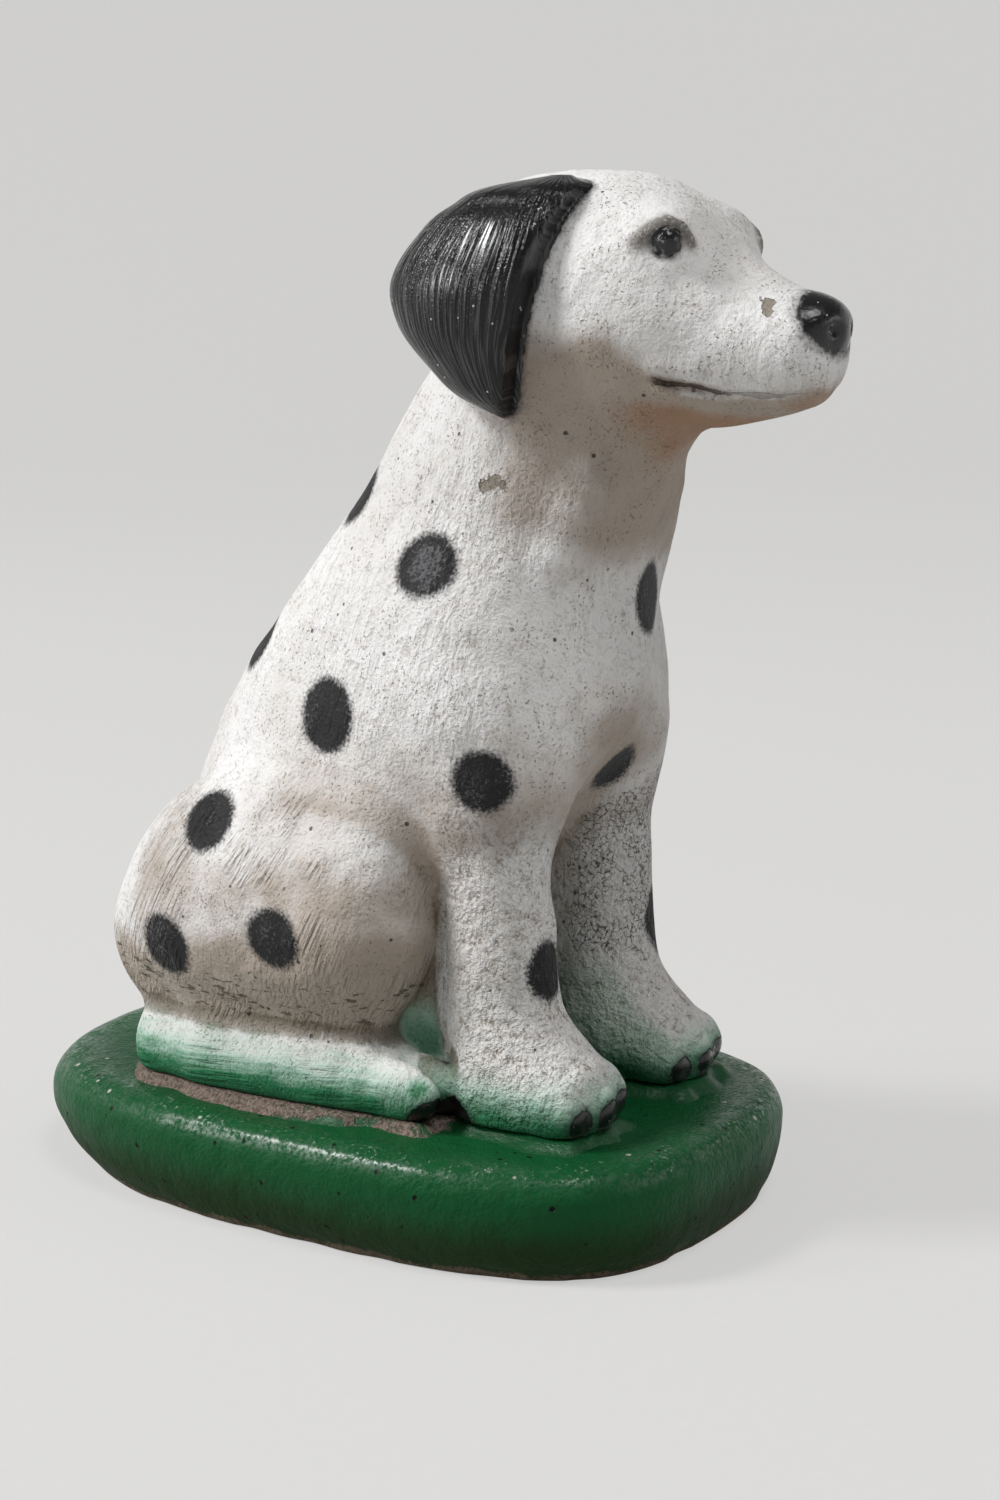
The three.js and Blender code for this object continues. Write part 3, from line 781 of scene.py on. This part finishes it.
beside_foot *= 1 - 0.45 * rise(bed[:, 1], 8, -14)
mortar_skin = make_mesh("mortar_skin", bed, bed_faces, {"bare": beside_foot, "sole": to_sole[used]})
print("mortar skin:", len(bed), "vertices")

# %% [markdown]
# ## Node arithmetic
#
# A material's node tree is easier to read as sums. `Ink` wraps one socket, so `a * 2 + b` adds Math nodes.
# Its `node` method makes every other kind of node: its settings come first, then its sockets.

# %% Node arithmetic
class Ink:
    """One output socket of a node tree that takes part in sums."""

    def __init__(self, tree, socket=None):
        self.tree = tree
        self.socket = socket

    def node(self, kind, settings, sockets, output=0):
        """Adds a node, sets its settings, sets or links its sockets, and returns one of its outputs."""
        made = self.tree.nodes.new(kind)
        for name, value in settings.items():
            setattr(made, name, value)
        for name, value in sockets.items():
            if isinstance(value, Ink):
                self.tree.links.new(value.socket, made.inputs[name])
            else:
                made.inputs[name].default_value = value
        return Ink(self.tree, made.outputs[output])

    def math(self, operation, *values):
        """A Math node's result."""
        return self.node("ShaderNodeMath", {"operation": operation}, dict(enumerate(values)))

    def __add__(self, other):
        return self.math("ADD", self, other)

    def __sub__(self, other):
        return self.math("SUBTRACT", self, other)

    def __mul__(self, other):
        return self.math("MULTIPLY", self, other)

    def __truediv__(self, other):
        return self.math("DIVIDE", self, other)

    def __rsub__(self, other):
        return self.math("SUBTRACT", other, self)

    __radd__ = __add__
    __rmul__ = __mul__


# %% Node helpers
def coordinates(ink, stretch=(1, 1, 1), turn=(0, 0, 0)):
    """Places on the object in millimetres, turned by degrees about the axes, then divided by stretch."""
    place = ink.node("ShaderNodeTexCoord", {}, {}, "Object")
    turned = ink.node("ShaderNodeVectorRotate", {"rotation_type": "EULER_XYZ"}, {
        "Vector": place, "Rotation": [math.radians(t) for t in turn],
    })
    scale = [1000 / s for s in stretch]
    return ink.node("ShaderNodeVectorMath", {"operation": "MULTIPLY"}, {0: turned, 1: scale})


def noise(ink, size, stretch=(1, 1, 1), turn=(0, 0, 0), detail=2.0, rough=0.5):
    """Smooth random values round 0.5, whose lumps are about size millimetres wide."""
    where = coordinates(ink, stretch, turn)
    settings = {"Vector": where, "Scale": 1 / size, "Detail": detail, "Roughness": rough}
    return ink.node("ShaderNodeTexNoise", {}, settings, "Fac")


def cells(ink, size, feature, randomness=1.0):
    """Distances in a random mosaic whose cells are about size millimetres wide."""
    settings = {"Vector": coordinates(ink), "Scale": 1 / size, "Randomness": randomness}
    return ink.node("ShaderNodeTexVoronoi", {"feature": feature}, settings, "Distance")


def smooth(value, low, high):
    """0 where value is low, 1 where it is high, and a smooth S between."""
    settings = {"Value": value, "From Min": low, "From Max": high}
    return value.node("ShaderNodeMapRange", {"interpolation_type": "SMOOTHSTEP"}, settings)


def mix(share, a, b):
    """A colour: a where share is 0, b where it is 1."""
    return share.node("ShaderNodeMix", {"data_type": "RGBA"}, {0: share, 6: a, 7: b}, 2)


def layers(base, coats):
    """A colour with coats laid over it in turn: each coat is the share that it covers and its colour."""
    for share, colour in coats:
        base = mix(share, base, colour)
    return base


def bumped(relief, strength, depth):
    """The normal of a surface whose relief of 1 stands depth metres high."""
    sockets = {"Height": relief, "Strength": strength, "Distance": depth}
    return relief.node("ShaderNodeBump", {}, sockets, "Normal")


def painted(ink, name):
    """The value of one of the mesh's attributes."""
    return ink.node("ShaderNodeAttribute", {"attribute_name": name}, {}, "Fac")


def material(name):
    """A new material's tree and its Principled shader."""
    made = bpy.data.materials.new(name)
    made.use_nodes = True
    return made, Ink(made.node_tree), made.node_tree.nodes["Principled BSDF"]


def attach(shader, links, values):
    """Links inks to a shader's sockets and sets the constant ones."""
    for name, source in links.items():
        source.tree.links.new(source.socket, shader.inputs[name])
    for name, value in values.items():
        shader.inputs[name].default_value = value


# %% [markdown]
# ## White paint
#
# The real paint is a cement wash brushed over rough concrete. It has a sandy grain, strokes that slant on the
# haunch and fall on the neck, a coarse stucco on the forelegs, and dirt and painted shade in every pit and
# crease. A painted image would need a side of its own for each view, so noise in object coordinates covers
# all sides alike.

# %% White paint: grain and strokes
white_paint, ink, shader = material("white_paint")
broad = noise(ink, 24, detail=3)
patchy = noise(ink, 7, detail=3)
grain = noise(ink, 0.7, detail=2, rough=0.6)
crust = noise(ink, 2.6, detail=4, rough=0.62)
uneven = patchy - 0.5
fine = grain - 0.5
haunch = painted(ink, "haunch")
on_foot = painted(ink, "foot")
on_leg = painted(ink, "stucco")
on_head = painted(ink, "head")
on_ear = painted(ink, "ear")

# Strokes slant on the haunch, run level along the hind foot and fall elsewhere, in patches.
slant_strokes = noise(ink, 1, stretch=(1.3, 1.0, 22), turn=(-27, 0, 0))
level_strokes = noise(ink, 1, stretch=(1.5, 20, 1.1), turn=(4, 0, 0))
down_strokes = noise(ink, 1, stretch=(1.3, 1.3, 16), turn=(-14, 5, 0))
strokes = down_strokes + (slant_strokes - down_strokes) * haunch
strokes = strokes + (level_strokes - strokes) * on_foot
brushed = smooth(noise(ink, 20), 0.42, 0.58) * (0.6 + haunch * 0.4 + on_foot * 0.2)
print("grain and strokes:", len(ink.tree.nodes), "nodes")

# %% White paint: pits and sprayed edges
pits = smooth(cells(ink, 5, "F1"), 0.10, 0.06) * smooth(noise(ink, 9), 0.5, 0.6)
# Dirt and painted shade in the stucco's hollows, strongest on the forelegs.
pore_dirt_and_shade = smooth(crust + fine * 0.5, 0.42, 0.25) * (0.3 + on_leg * 0.7)
pin_holes = smooth(noise(ink, 0.6, detail=1), 0.36, 0.27) * smooth(patchy, 0.36, 0.6)
spray_grain = (noise(ink, 0.7) - 0.5) * 2.6 + uneven * 1.2
spot = smooth(painted(ink, "spot") + spray_grain, 1.3, -1.1)
gloss_edge = painted(ink, "gloss") + (noise(ink, 1.6, detail=3) - 0.5) * 1.3
gloss = smooth(gloss_edge, 0.25, -0.2)
gloss_spray = smooth(gloss_edge + spray_grain * 0.5, 1.6, -0.2)
# Pale dots on the black gloss: dust, and painted glints of light.
dust_and_glint_specks = smooth(cells(ink, 2.4, "F1"), 0.12, 0.07) * smooth(patchy, 0.5, 0.56)
chip = smooth(painted(ink, "chip") + (noise(ink, 1.6, detail=3) - 0.5) * 3, 0.15, -0.15)
print("pits and edges:", len(ink.tree.nodes), "nodes")

# %% White paint: dirt
CLEAN_WHITE = (0.82, 0.815, 0.81, 1)
DULL_WHITE = (0.77, 0.755, 0.74, 1)
# The warm stain colour also paints shade under the jaw and on faces that look down.
STAIN_AND_SHADE = (0.36, 0.285, 0.22, 1)
STROKE_DIRT = (0.42, 0.365, 0.315, 1)
# Colour of the painted shade and dirt in the grain's hollows.
SANDY_SHADE = (0.42, 0.37, 0.325, 1)
PIN_HOLE = (0.30, 0.25, 0.205, 1)
# Rust colour that also paints shade and warm bounce light under the jaw.
RUST_AND_SHADE = (0.36, 0.205, 0.12, 1)
PORE_DIRT_AND_SHADE = (0.36, 0.31, 0.265, 1)
# The dirt colours also paint shade in creases, in the flank and between the hind toes.
DARK_DIRT_AND_SHADE = (0.06, 0.05, 0.03, 1)
PALE_DIRT_AND_SHADE = (0.26, 0.21, 0.145, 1)
FLECK = (0.085, 0.07, 0.045, 1)
PIT = (0.05, 0.042, 0.033, 1)
CRAZE = (0.07, 0.058, 0.042, 1)

# A warm stain and painted shade where rain doesn't reach and under the jaw, dirt and painted shade in creases
# and in the hollows of the grain, rust and painted shade under the lip, dark flecks on the lower haunch, and
# fine cracks.
stained_and_shaded = smooth(painted(ink, "stain_and_shade") + (broad - 0.5) * 1.1 + uneven * 0.5, 0.05, 1.0)
worn_in = smooth(strokes, 0.50, 0.36) * brushed
# Painted shade and dirt in the hollows of the grain and the crust, most on the forelegs, least on the head.
grain_shade_and_dirt = smooth(grain * 0.5 + crust * 0.5, 0.51, 0.37) * (0.34 - on_head * 0.12 + on_leg * 0.3)
rusty_and_shaded = smooth(painted(ink, "rust") + uneven * 0.8 + fine * 0.5, 0.1, 0.9)
dirt_and_shade = smooth(painted(ink, "grime_and_shade") + uneven * 1.1 + fine * 1.0, 0.2, 1.0)
flat_flecks = noise(ink, 1, stretch=(4, 4, 1.2), detail=3, rough=0.6)
flecks = smooth(flat_flecks + (painted(ink, "fleck") - 1) * 0.4, 0.57, 0.63)
crazing = smooth(cells(ink, 1.5, "DISTANCE_TO_EDGE") + fine * 0.35, 0.07, -0.02)
crazing = crazing * smooth(painted(ink, "crazed") + uneven * 2.4, 0.5, 0.9)
white = layers(mix(smooth(broad, 0.35, 0.65), CLEAN_WHITE, DULL_WHITE), [
    (stained_and_shaded * 0.85, STAIN_AND_SHADE),
    (worn_in * 0.35, STROKE_DIRT),
    (grain_shade_and_dirt, SANDY_SHADE),
    (pin_holes * 0.7, PIN_HOLE),
    (rusty_and_shaded * 0.85, RUST_AND_SHADE),
    (pore_dirt_and_shade, PORE_DIRT_AND_SHADE),
    (dirt_and_shade * 0.85, mix(grain, DARK_DIRT_AND_SHADE, PALE_DIRT_AND_SHADE)),
    (flecks * 0.8, FLECK),
    (pits * 0.9, PIT),
    (crazing * 0.75, CRAZE),
])
print("dirty white:", len(ink.tree.nodes), "nodes")

# %% [markdown]
# ## Over the white
#
# The plinth's green drifted up the feet, the lids are tinted, the mouth's groove has painted shade, chips
# show bare concrete, and the spots were sprayed on. Ears, nose, eyes and claws have a brushed black gloss
# with pale dots of dust and painted glints, whose clear coat is streaked: a coat ignores bumps, so its weight
# breaks up along the brush lines instead.

# %% White paint: green, mouth and black
MINT = (0.33, 0.54, 0.42, 1)
DRIFTED_GREEN = (0.018, 0.17, 0.07, 1)
LID_GREY = (0.10, 0.085, 0.07, 1)
GROOVE_SHADE_BROWN = (0.26, 0.19, 0.14, 1)
CRACK_BROWN = (0.045, 0.036, 0.026, 1)
DARK_CONCRETE = (0.17, 0.145, 0.115, 1)
PALE_CONCRETE = (0.42, 0.37, 0.31, 1)
SPOT_BLACK = (0.009, 0.009, 0.010, 1)
RUBBED_BLACK = (0.14, 0.14, 0.148, 1)
SPRAY_BLACK = (0.03, 0.03, 0.031, 1)
GLOSS_BLACK = (0.007, 0.007, 0.008, 1)
DUST_AND_GLINT_SPECK = (0.45, 0.44, 0.43, 1)

drift = painted(ink, "green") + uneven * 0.35 + fine * 0.3
drift = drift + ((strokes - 0.5) * 0.5 + 0.08) * on_foot
near_mouth = painted(ink, "near_mouth")
from_crack = ink.math("ABSOLUTE", painted(ink, "above_mouth") + uneven * 2.0 + fine * 0.6)
crack = smooth(from_crack - (noise(ink, 8, detail=3) - 0.44) * 2.4, 0.3, 0.0)
crack = crack * smooth(near_mouth, 0.2, 0.8)
# Painted shade in the mouth's groove, brown.
groove = smooth(from_crack - near_mouth * 0.7, 1.1, 0.0) * near_mouth
rubbed = smooth(grain * 0.6 + patchy * 0.4 + painted(ink, "rubbed") * 0.16, 0.53, 0.72)
colour = layers(white, [
    (smooth(drift, 0.05, 0.75) * 0.85, MINT),
    (smooth(drift, 0.5, 1.0), DRIFTED_GREEN),
    (painted(ink, "lid") * smooth(grain, 0.2, 0.5) * 0.85, LID_GREY),
    (groove * 0.7, GROOVE_SHADE_BROWN),
    (crack * 0.85, CRACK_BROWN),
    (chip, mix(grain, DARK_CONCRETE, PALE_CONCRETE)),
    (spot, mix(rubbed * 0.8, SPOT_BLACK, RUBBED_BLACK)),
    (gloss_spray * 0.7, SPRAY_BLACK),
    (gloss, mix(dust_and_glint_specks, GLOSS_BLACK, DUST_AND_GLINT_SPECK)),
])
print("all colours:", len(ink.tree.nodes), "nodes")

# %% White paint: relief and gloss
EAR_STROKE = 18


def along_ear(scale, detail):
    """Noise drawn out down the ear: fine across it, and EAR_STROKE times as long in height."""
    up_ear = ink.node("ShaderNodeSeparateXYZ", {}, {"Vector": coordinates(ink)}, "Z") / EAR_STROKE
    where = ink.node("ShaderNodeCombineXYZ", {}, {"X": painted(ink, "across_ear"), "Y": up_ear})
    return ink.node("ShaderNodeTexNoise", {}, {"Vector": where, "Scale": scale, "Detail": detail}, "Fac")


# The relief is in millimetres.
matte = grain * (0.36 - on_head * 0.1) + patchy * 1.1 - pin_holes * 0.35 - crazing * 0.4
matte = matte + crust * (0.3 - on_head * 0.2 + on_leg * 2.8)
matte = matte + strokes * brushed * (0.9 - on_head * 0.4 + haunch * 0.8 + on_foot * 0.9)
black_relief = along_ear(0.8, 2.0) * on_ear * 0.9 + grain * 0.16
relief = matte * (1 - gloss) + black_relief * gloss
relief = relief - pits * 0.6 - chip * 0.5 - flecks * 0.2 - crack * 0.6
roughness = 0.74 - spot * 0.14 + fine * 0.15
roughness = roughness * (1 - gloss) + (0.10 + grain * 0.14) * gloss
shine = gloss * (smooth(along_ear(1.6, 3.0), 0.50, 0.64) * on_ear + 0.4 * (1 - on_ear))
attach(shader, {
    "Base Color": colour,
    "Roughness": roughness,
    "Coat Weight": shine,
    "Normal": bumped(relief, 1.0, MM),
}, {"Specular IOR Level": 0.3, "Coat Roughness": 0.23})
dog_skin.data.materials.append(white_paint)
print("white paint:", len(ink.tree.nodes), "nodes")

# %% [markdown]
# ## Green paint, mortar and steel
#
# The plinth wears a thick glossy paint, rubbed pale on its top edge, with painted highlights there, and grimy
# below, with bare concrete where it meets the ground. The mortar is bare and sandy beside the hind foot and
# green elsewhere. The rods are hidden, so their CAD shapes are kept and only get a rusty finish.

# %% Green paint
GREEN = (0.005, 0.068, 0.020, 1)
PALE_GREEN = (0.008, 0.092, 0.028, 1)
WORN_AND_GLINT_GREEN = (0.30, 0.42, 0.33, 1)
GRIME = (0.014, 0.022, 0.005, 1)
GREEN_PIT = (0.003, 0.004, 0.002, 1)
FLAKE = (0.55, 0.54, 0.50, 1)
DARK_FOOT = (0.07, 0.055, 0.035, 1)
PALE_FOOT = (0.20, 0.17, 0.125, 1)

plinth_paint, ink, shader = material("plinth_paint")
broad = noise(ink, 20, detail=3)
patchy = noise(ink, 5, detail=3)
grain = noise(ink, 0.9, detail=3, rough=0.6)
uneven = patchy - 0.5
fine = grain - 0.5
edge = painted(ink, "edge")
pits = smooth(cells(ink, 4.5, "F1"), 0.15, 0.09) * smooth(patchy, 0.48, 0.54)
flakes = smooth(cells(ink, 7, "F1", 0.9), 0.10, 0.06)
flakes = flakes * smooth(edge + (broad - 0.5), 0.4, 0.8)
# Pale dots along the top edge: worn paint, and painted highlights where the edge catches the light.
rubbed = smooth(edge * 0.5 + fine * 2.0 + uneven * 0.8, 0.78, 0.90)
grimy = smooth(painted(ink, "low") + uneven * 0.35 + (broad - 0.5) * 0.3, -0.05, 1.0)
bare = smooth(painted(ink, "foot") + uneven * 0.5 + fine * 0.3, 0.78, 0.96)
sheen = smooth(grain * 0.6 + noise(ink, 3, detail=4, rough=0.65) * 0.4, 0.42, 0.60)
colour = layers(mix(broad, GREEN, PALE_GREEN), [
    (rubbed * 0.6, WORN_AND_GLINT_GREEN),
    (grimy * 0.8, GRIME),
    (pits, GREEN_PIT),
    (flakes * 0.8, FLAKE),
    (bare, mix(grain, DARK_FOOT, PALE_FOOT)),
])
relief = patchy * 1.6 + grain * 0.6 - pits * 1.2 + bare * grain * 1.5
attach(shader, {
    "Base Color": colour,
    "Roughness": 0.32 + fine * 0.25 + grimy * 0.3 + bare * 0.35,
    "Coat Weight": edge * sheen * (1 - bare),
    "Normal": bumped(relief, 0.7, 0.9 * MM),
}, {"Specular IOR Level": 0.08, "Coat Roughness": 0.3})
plinth_skin.data.materials.append(plinth_paint)
print("green paint:", len(ink.tree.nodes), "nodes")

# %% Mortar
DARK_SAND = (0.085, 0.062, 0.047, 1)
PALE_SAND = (0.29, 0.225, 0.185, 1)
mortar, ink, shader = material("mortar")
grain = noise(ink, 0.8, detail=3, rough=0.65)
patchy = noise(ink, 4, detail=3)
thin = smooth(painted(ink, "sole"), 1.0, 3.2)
bare = smooth(painted(ink, "bare") - thin * 0.45 + (patchy - 0.5) * 1.5 + (grain - 0.5) * 0.6, 0.3, 0.6)
sand = mix(smooth(grain, 0.3, 0.7), DARK_SAND, PALE_SAND)
attach(shader, {
    "Base Color": mix(bare, GREEN, sand),
    "Roughness": 0.35 + bare * 0.55,
    "Normal": bumped(grain * (0.3 + bare), 0.8, 0.9 * MM),
}, {"Specular IOR Level": 0.4})
mortar_skin.data.materials.append(mortar)
print("mortar:", len(ink.tree.nodes), "nodes")

# %% Steel
BARE_STEEL = (0.33, 0.32, 0.31, 1)
RUSTED_STEEL = (0.16, 0.055, 0.022, 1)
steel, ink, shader = material("rusty_steel")
flakes = noise(ink, 3, detail=4, rough=0.6)
rust = smooth(flakes, 0.42, 0.6)
attach(shader, {
    "Base Color": mix(rust, BARE_STEEL, RUSTED_STEEL),
    "Metallic": 1 - rust,
    "Roughness": 0.35 + rust * 0.5,
    "Normal": bumped(flakes, 0.4, 0.5 * MM),
}, {})
for name in ("spine_rod", "right_foreleg_rod", "left_foreleg_rod"):
    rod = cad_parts[name]
    rod.data.materials.clear()
    rod.data.materials.append(steel)
print("steel:", len(ink.tree.nodes), "nodes")

# %% [markdown]
# ## Light and floor
#
# The photograph's light comes from behind the dog on its right. The key lamp stands there, with a small lamp
# below it that the ears mirror; one overhead and a weak one in front open up the shade.
# The floor is a bowl: flat under the statue, then swept up all round, so that no side shows a horizon.

# %% Light
LAMPS = [
    ("key", (-1.21, 1.33, 1.86), 0.55, 43),
    ("top", (-0.3, -0.8, 2.25), 0.7, 17),
    ("glint", (-1.5, 1.6, 1.0), 0.4, 13),
    ("fill", (1.0, -2.3, 1.0), 1.2, 8),
]
LAMP_AIM = (0, 0, 0.1)
WORLD_GREY = (0.8, 0.8, 0.8, 1)
WORLD_STRENGTH = 0.18


def soft_lamp(name, place, size, watts):
    """A square lamp that faces the middle of the statue. Places and sizes are in metres."""
    data = bpy.data.lights.new(name, "AREA")
    data.size = size
    data.energy = watts
    lamp = bpy.data.objects.new(name, data)
    away = np.subtract(place, LAMP_AIM)
    away /= np.linalg.norm(away)
    across = np.cross((0, 0, 1), away)
    across /= np.linalg.norm(across)
    lamp.matrix_world = standing(across, np.cross(away, across), away, place)
    scene.collection.objects.link(lamp)


for lamp_row in LAMPS:
    soft_lamp(*lamp_row)
world = bpy.data.worlds.new("studio")
world.use_nodes = True
background = world.node_tree.nodes["Background"]
background.inputs["Color"].default_value = WORLD_GREY
background.inputs["Strength"].default_value = WORLD_STRENGTH
scene.world = world
print("lamps:", [row[0] for row in LAMPS])

# %% Floor
FLAT_RADIUS = 1600
COVE_RADIUS = 1300
PALE_SHARE = 0.6
FLOOR_DARK = (0.48, 0.475, 0.465, 1)
FLOOR_PALE = (0.52, 0.515, 0.505, 1)
FLOOR_GLOW = (0.85, 0.845, 0.835, 1)
turn = np.linspace(0, 2 * math.pi, 96, endpoint=False)
sweep = np.linspace(0, math.pi / 2, 16)
reach = np.concatenate([np.linspace(1, FLAT_RADIUS, 12), FLAT_RADIUS + COVE_RADIUS * np.sin(sweep[1:])])
lift = np.concatenate([np.zeros(12), COVE_RADIUS * (1 - np.cos(sweep[1:]))])
bowl = np.stack([
    reach[:, None] * np.cos(turn)[None],
    reach[:, None] * np.sin(turn)[None],
    lift[:, None] + 0 * turn[None],
], -1).reshape(-1, 3)
floor = make_mesh("floor", bowl, band_faces(len(reach), len(turn)), {})
floor_paint, ink, shader = material("floor_paint")
attach(shader, {"Base Color": mix(noise(ink, 3), FLOOR_DARK, FLOOR_PALE)}, {"Roughness": 0.8})
looks = ("Is Camera Ray", "Is Glossy Ray", "Is Transmission Ray")
rays = [ink.node("ShaderNodeLightPath", {}, {}, look) for look in looks]
seen = (rays[0] + rays[1] + rays[2]) * PALE_SHARE
glow = ink.node("ShaderNodeEmission", {}, {"Color": FLOOR_GLOW, "Strength": 1.0})
paled = ink.node("ShaderNodeMixShader", {}, {0: seen, 1: Ink(ink.tree, shader.outputs[0]), 2: glow})
ink.tree.links.new(paled.socket, ink.tree.nodes["Material Output"].inputs["Surface"])
floor.data.materials.append(floor_paint)
print("floor:", len(bowl), "vertices")

# %% [markdown]
# ## Hand over
#
# Each skin stands for its CAD node, which it hides, and rides on the one body there is.

# %% Hand over
for piece, node, slot in (
    (dog_skin, "dog_casting", "white_paint"),
    (plinth_skin, "plinth", "plinth_paint"),
    (mortar_skin, "mortar_bed", "bare_mortar"),
):
    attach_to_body(piece, "root")
    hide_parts(node)
